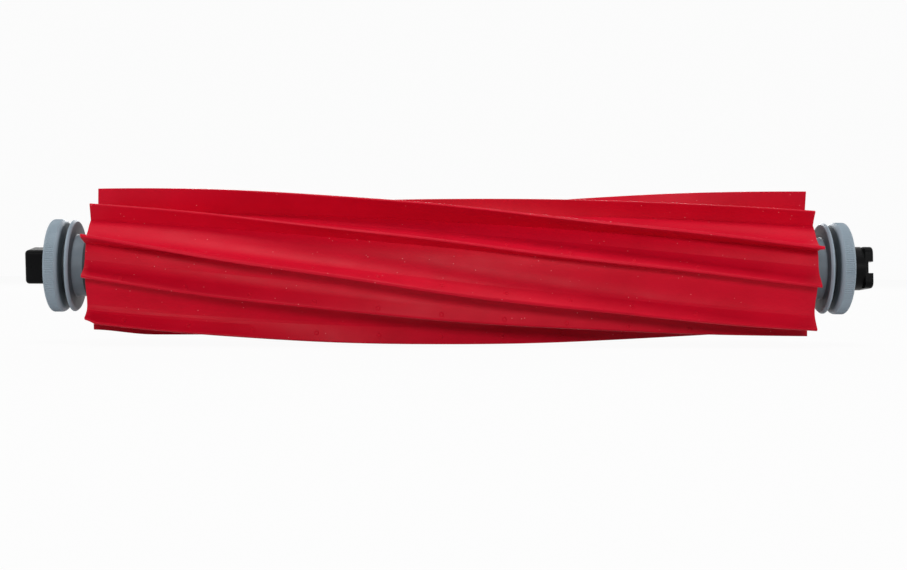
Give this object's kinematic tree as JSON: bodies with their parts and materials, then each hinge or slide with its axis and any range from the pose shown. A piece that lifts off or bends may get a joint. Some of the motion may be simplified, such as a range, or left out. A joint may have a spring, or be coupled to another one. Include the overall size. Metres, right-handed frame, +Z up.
{
  "type": "robot vacuum roller brush",
  "caption": "Rubber roller brush of a robot vacuum: helical fins on a tube, twist-lock end caps, a square drive head and a ball bearing in a block.",
  "frame": {"origin": "middle of the roller, on its axis", "axes": "+X along the axis from the square drive head to the bearing block, +Z up, the picture's view from -Y"},
  "size_m": [0.19, 0.035, 0.035],
  "materials": {
    "red_rubber": "satin",
    "grey_plastic": "satin",
    "black_plastic": "satin",
    "steel": "polished"
  },
  "bodies": {
    "bearing_block": {"bearing_block": "black_plastic", "bearing_outer_ring": "steel", "bearing_shield_inner": "steel", "bearing_shield_outer": "steel"},
    "roller": {"rubber_sleeve": "red_rubber", "core_tube": "black_plastic", "drive_spindle": "black_plastic", "bearing_spindle": "black_plastic", "bearing_pin": "steel", "bearing_inner_ring": "steel"},
    "ball_cage": {"bearing_balls": "steel", "bearing_cage": "steel"},
    "drive_cap": {"drive_end_cap": "grey_plastic"},
    "bearing_cap": {"bearing_end_cap": "grey_plastic"}
  },
  "joints": [
    {"name": "roller_spin", "type": "hinge", "parent": "bearing_block", "child": "roller", "pos_m": [0.09155, 0, 0], "axis": [1, 0, 0], "continuous": true},
    {"name": "cage_spin", "type": "hinge", "parent": "bearing_block", "child": "ball_cage", "pos_m": [0.09155, 0, 0], "axis": [1, 0, 0], "continuous": true},
    {"name": "drive_cap_twist", "type": "hinge", "parent": "roller", "child": "drive_cap", "pos_m": [-0.0879, 0, 0], "axis": [-1, 0, 0], "range_deg": [0, 30]},
    {"name": "bearing_cap_twist", "type": "hinge", "parent": "roller", "child": "bearing_cap", "pos_m": [0.0879, 0, 0], "axis": [1, 0, 0], "range_deg": [0, 30]}
  ],
  "couplings": [
    {"joint": "cage_spin", "follows": "roller_spin", "ratio": 0.41111}
  ]
}
